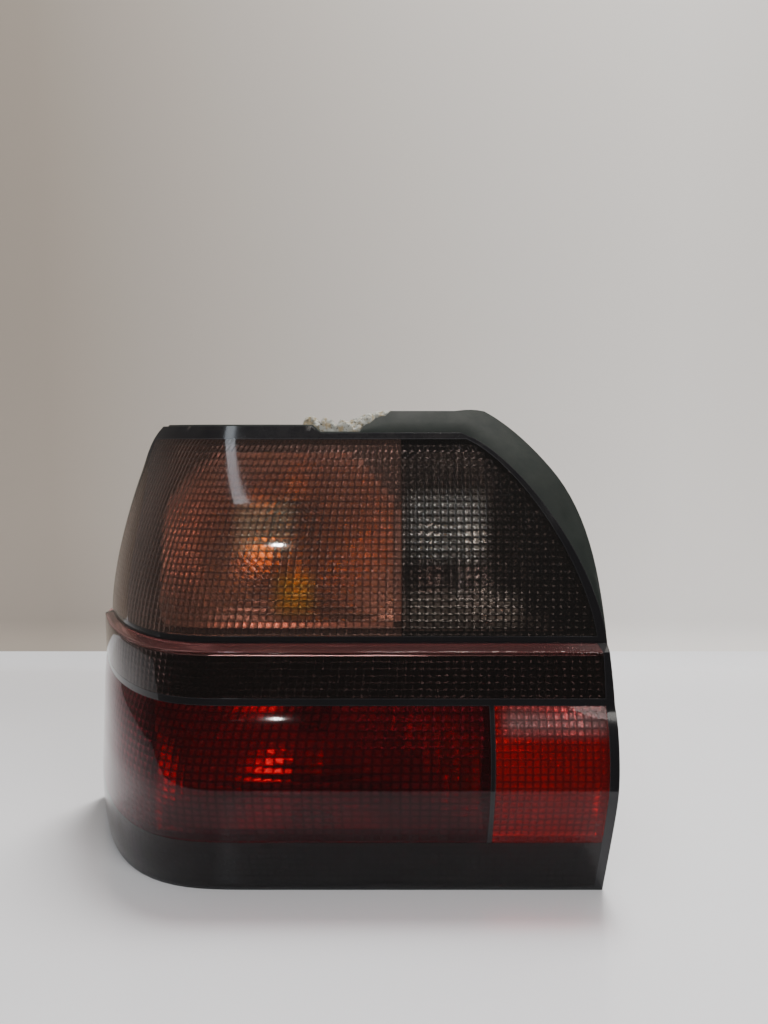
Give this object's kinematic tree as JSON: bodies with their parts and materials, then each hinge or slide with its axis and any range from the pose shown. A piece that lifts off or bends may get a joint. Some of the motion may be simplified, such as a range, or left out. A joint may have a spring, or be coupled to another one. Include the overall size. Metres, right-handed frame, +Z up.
{
  "type": "car tail light cluster",
  "caption": "Wrap-round left rear lamp with smoked and red fluted windows, a ledge, metallised reflector bowls, bulbs on a rear carrier, a flared collar and mounting studs.",
  "frame": {"origin": "a point on the flat foot of the housing, on the reference line of the lens", "axes": "+Z up from the foot, +X to the right for somebody who looks at the lens, +Y from the lens towards the studs"},
  "size_m": [0.3467, 0.1528, 0.291],
  "materials": {
    "housing_plastic": "grey-green moulded plastic, dusty",
    "foam": "torn fibrous foam",
    "lens_black": "gloss black acrylic",
    "lens_amber": "smoked amber acrylic, fluted inside",
    "lens_smoke": "smoked clear acrylic, fluted inside",
    "lens_band": "smoked red acrylic",
    "lens_dark_red": "dark red acrylic, fluted inside",
    "lens_red": "red acrylic, fluted inside",
    "lens_foot": "heavily smoked acrylic",
    "metallised": "vacuum metallised plastic",
    "carrier_plastic": "moulded plastic",
    "rubber": "matt",
    "sleeve_steel": "tinned",
    "bulb_amber": "amber glass on a metal cap",
    "bulb_clear": "clear glass on a metal cap",
    "contact_brass": "stamped strip, dull",
    "stud_steel": "zinc plated"
  },
  "bodies": {
    "root": {"housing": "housing_plastic", "seal_remnant": "foam", "lens_frame": "lens_black", "lens_turn": "lens_amber", "lens_reverse": "lens_smoke", "lens_mid_band": "lens_band", "lens_tail": "lens_dark_red", "lens_fog": "lens_red", "lens_foot_band": "lens_foot", "reflector_turn": "metallised", "reflector_reverse": "metallised", "reflector_tail": "metallised", "reflector_fog": "metallised", "bulb_carrier": "carrier_plastic", "carrier_seal": "rubber", "socket_turn": "sleeve_steel", "socket_reverse": "sleeve_steel", "socket_tail": "sleeve_steel", "socket_fog": "sleeve_steel", "bulb_turn": "bulb_amber", "bulb_reverse": "bulb_clear", "bulb_tail": "bulb_clear", "bulb_fog": "bulb_clear", "earth_strip": "contact_brass", "feed_strip_turn": "contact_brass", "feed_strip_reverse": "contact_brass", "feed_strip_tail": "contact_brass", "feed_strip_fog": "contact_brass", "inlet_blades": "contact_brass", "mounting_studs": "stud_steel", "vent_cap_high": "rubber", "vent_cap_low": "rubber"}
  },
  "joints": []
}
